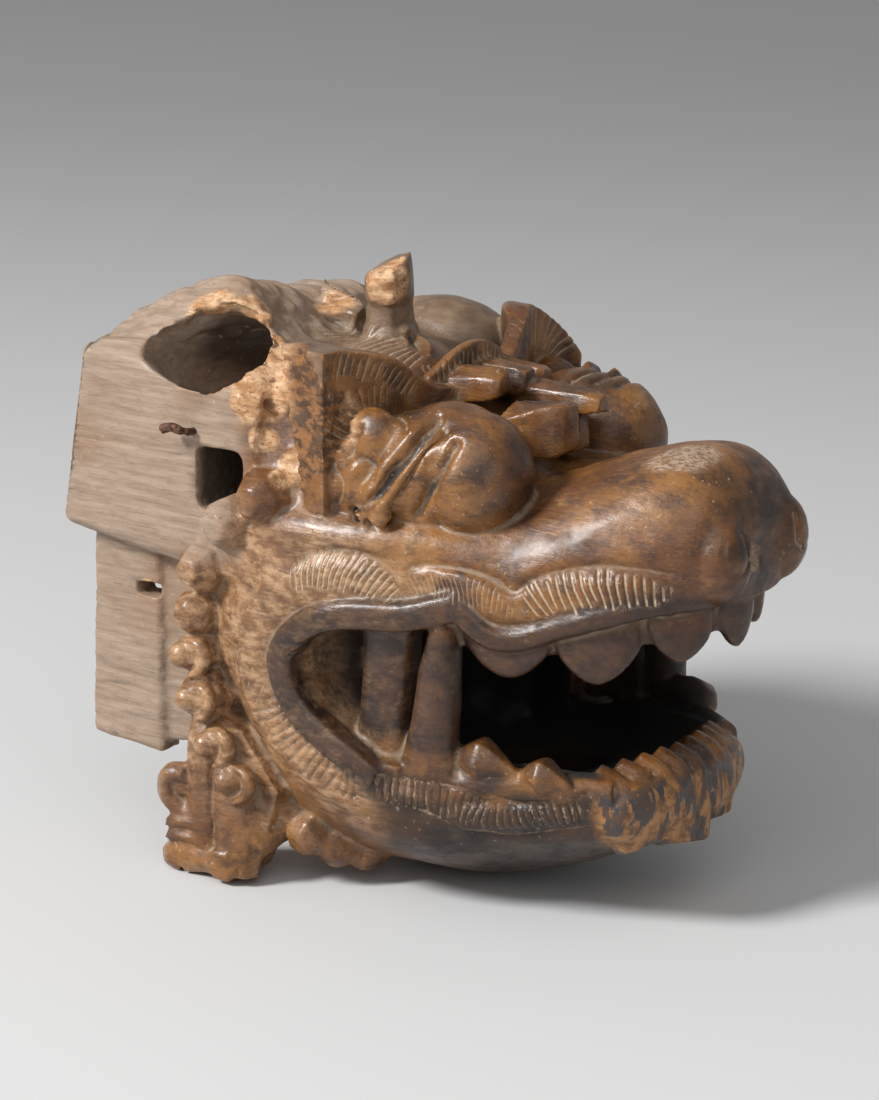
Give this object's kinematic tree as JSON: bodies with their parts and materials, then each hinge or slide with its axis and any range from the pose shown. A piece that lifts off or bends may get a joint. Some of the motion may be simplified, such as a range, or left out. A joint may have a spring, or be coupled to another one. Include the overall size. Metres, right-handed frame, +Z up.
{
  "type": "carved barong mask head",
  "caption": "Carved wooden monster head with open toothed mouth, bulging eyes, heavy snout, beaded jowl edge and a sawn block behind with tenon sockets; broken brow and crest.",
  "frame": {"origin": "middle of the box's underside, on the floor that the head rests on", "axes": "front (the snout) is -Y, up is +Z, the side with the broken brow and the nail is -X"},
  "size_m": [0.1766, 0.2882, 0.2417],
  "materials": {
    "carved_wood": "old hard wood with a rubbed brown patina, dry and grey at the back, raw where it is broken",
    "nail_iron": "dark rust"
  },
  "bodies": {
    "root": {"barong_head": "carved_wood", "bent_nail": "nail_iron"}
  },
  "joints": []
}
